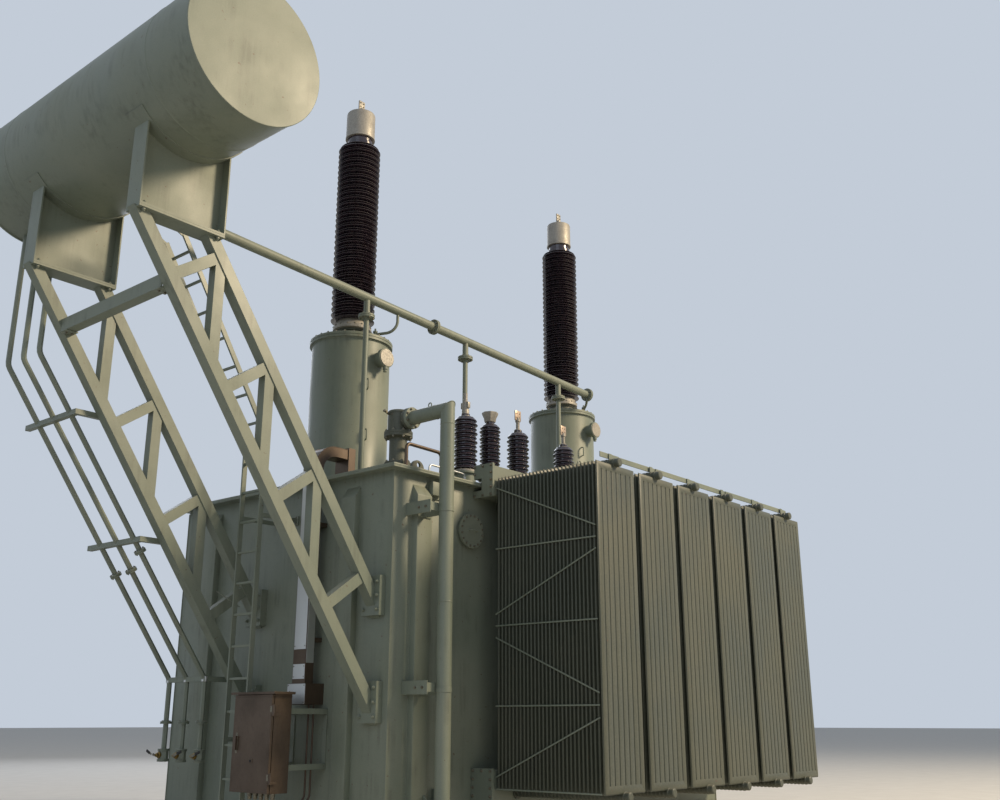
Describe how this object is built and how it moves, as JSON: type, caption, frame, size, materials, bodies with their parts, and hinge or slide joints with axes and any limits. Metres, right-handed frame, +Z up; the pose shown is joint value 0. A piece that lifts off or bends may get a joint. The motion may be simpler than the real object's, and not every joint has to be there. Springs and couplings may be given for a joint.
{
  "type": "power transformer",
  "caption": "Outdoor oil-filled power transformer with two radiator banks, porcelain bushings on turrets, and an oil conservator on lattice brackets.",
  "frame": {"origin": "on the ground, under the middle of the tank, at the underside of the middle cross beam", "axes": "+X along the tank away from the conservator, +Y towards the far radiator bank, +Z up"},
  "size_m": [8.8498, 6.3646, 8.5615],
  "materials": {
    "grey_green_paint": "semi-gloss grey-green paint",
    "brown_porcelain": null,
    "light_grey_castings": "light grey painted castings",
    "stainless_sheet": "stainless sheet, slightly brown in warm light",
    "galvanised_steel": "dull galvanised steel"
  },
  "bodies": {
    "transformer": {"base_frame": "grey_green_paint", "tank_body": "grey_green_paint", "tank_cover": "grey_green_paint", "duct_near_top": "grey_green_paint", "duct_near_bottom": "grey_green_paint", "vent_pipe_near": "grey_green_paint", "duct_far_top": "grey_green_paint", "duct_far_bottom": "grey_green_paint", "vent_pipe_far": "grey_green_paint", "hv_turret_1": "grey_green_paint", "hv_turret_2": "grey_green_paint", "relief_pipe": "grey_green_paint", "conservator_shell": "grey_green_paint", "conservator_end_near": "grey_green_paint", "conservator_end_far": "grey_green_paint", "saddle_near": "grey_green_paint", "saddle_far": "grey_green_paint", "lattice_bracket_near": "grey_green_paint", "lattice_bracket_far": "grey_green_paint", "bracket_tie": "grey_green_paint", "gas_pipe": "grey_green_paint", "valve_pipes": "grey_green_paint", "cabinet_bracket": "grey_green_paint", "hand_hole": "grey_green_paint", "radiator_near_1": "grey_green_paint", "radiator_near_2": "grey_green_paint", "radiator_near_3": "grey_green_paint", "radiator_near_4": "grey_green_paint", "radiator_near_5": "grey_green_paint", "radiator_near_6": "grey_green_paint", "radiator_far_1": "grey_green_paint", "radiator_far_2": "grey_green_paint", "radiator_far_3": "grey_green_paint", "radiator_far_4": "grey_green_paint", "radiator_far_5": "grey_green_paint", "radiator_far_6": "grey_green_paint", "hv_bushing_1": "brown_porcelain", "hv_bushing_2": "brown_porcelain", "lv_bushing_1": "brown_porcelain", "lv_bushing_2": "brown_porcelain", "lv_bushing_3": "brown_porcelain", "lv_bushing_4": "brown_porcelain", "hv_cap_1": "light_grey_castings", "hv_cap_2": "light_grey_castings", "relief_valve": "light_grey_castings", "junction_box": "light_grey_castings", "cabinet_body": "stainless_sheet", "cable_trunk": "stainless_sheet", "ladder": "galvanised_steel"},
    "cabinet_door": {"cabinet_door": "stainless_sheet"}
  },
  "joints": [
    {"name": "cabinet_door_hinge", "type": "hinge", "parent": "transformer", "child": "cabinet_door", "pos_m": [-3.487, -0.898, 1.08], "axis": [0, 0, 1], "range_deg": [0, 110]}
  ]
}
